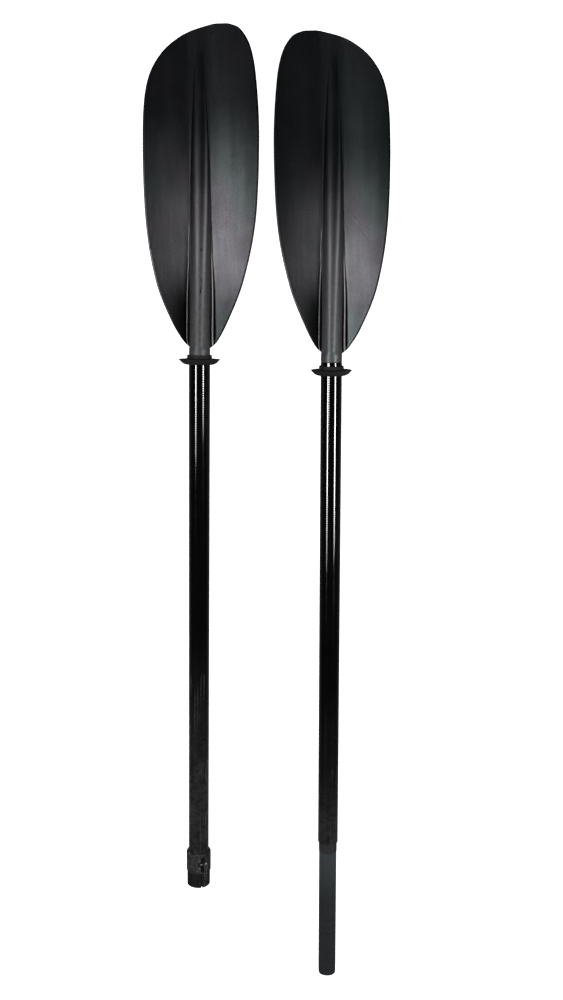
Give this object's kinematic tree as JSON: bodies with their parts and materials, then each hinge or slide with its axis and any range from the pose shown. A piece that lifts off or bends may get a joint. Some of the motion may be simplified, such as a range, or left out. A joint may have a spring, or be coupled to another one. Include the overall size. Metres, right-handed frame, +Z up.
{
  "type": "kayak paddle",
  "caption": "Take-apart double kayak paddle as two halves side by side: asymmetric blades, drip rings, ferrule joint with cam-lever clamp.",
  "frame": {"origin": "centre of the footprint of the two halves, on the surface that they lie on", "axes": "+Y along the shafts towards the blades, +Z up out of the power faces, +X from the female half to the male half"},
  "size_m": [0.3383, 1.3885, 0.058],
  "materials": {
    "blade": "satin moulded nylon",
    "tube": "gloss lacquered fibreglass",
    "ferrule": "ground fibreglass, satin",
    "rubber": "matte",
    "nylon": "matte moulded",
    "foam": "closed-cell foam",
    "steel": "plain stainless",
    "brass": "plain"
  },
  "bodies": {
    "female_half": {"left_blade": "blade", "left_shaft_tube": "tube", "left_blade_pin": "steel", "left_shaft_bung": "foam", "clamp_body": "nylon", "lever_pivot_pin": "steel", "barrel_nut": "brass"},
    "female_ring": {"left_drip_ring": "rubber"},
    "lever": {"lock_lever": "nylon"},
    "screw": {"tension_screw": "steel"},
    "socket_plug": {"socket_bung": "foam"},
    "ferrule_cap": {"ferrule_end_cap": "nylon"},
    "male_half": {"right_blade": "blade", "right_shaft_tube": "tube", "right_blade_pin": "steel", "right_shaft_bung": "foam", "ferrule_tube": "ferrule", "ferrule_stop_ring": "nylon", "ferrule_bung": "foam"},
    "male_ring": {"right_drip_ring": "rubber"}
  },
  "joints": [
    {"name": "female_ring_slide", "type": "slide", "parent": "female_half", "child": "female_ring", "axis": [-0.014, -0.9999, 0], "range_m": [0, 0.15]},
    {"name": "lever_throw", "type": "hinge", "parent": "female_half", "child": "lever", "pos_m": [-0.10292, -0.50841, 0.04589], "axis": [0.014, 0.9999, 0], "range_deg": [0, 110]},
    {"name": "tension_set", "type": "hinge", "parent": "female_half", "child": "screw", "pos_m": [-0.10292, -0.50841, 0.04589], "axis": [0.9165, -0.0128, -0.3999], "range_deg": [-360, 360]},
    {"name": "socket_insert", "type": "slide", "parent": "female_half", "child": "socket_plug", "axis": [0.014, 0.9999, 0], "range_m": [0, 0.2215]},
    {"name": "halves_swing", "type": "hinge", "parent": "socket_plug", "child": "ferrule_cap", "pos_m": [-0.00823, -0.631, 0.029], "axis": [0, 0, -1], "range_deg": [0, 180.8]},
    {"name": "feather_twist", "type": "hinge", "parent": "ferrule_cap", "child": "male_half", "pos_m": [0.09084, -0.69425, 0.029], "axis": [0, 1, 0], "range_deg": [-90, 90]},
    {"name": "male_ring_slide", "type": "slide", "parent": "male_half", "child": "male_ring", "axis": [0, -1, 0], "range_m": [0, 0.15]}
  ]
}
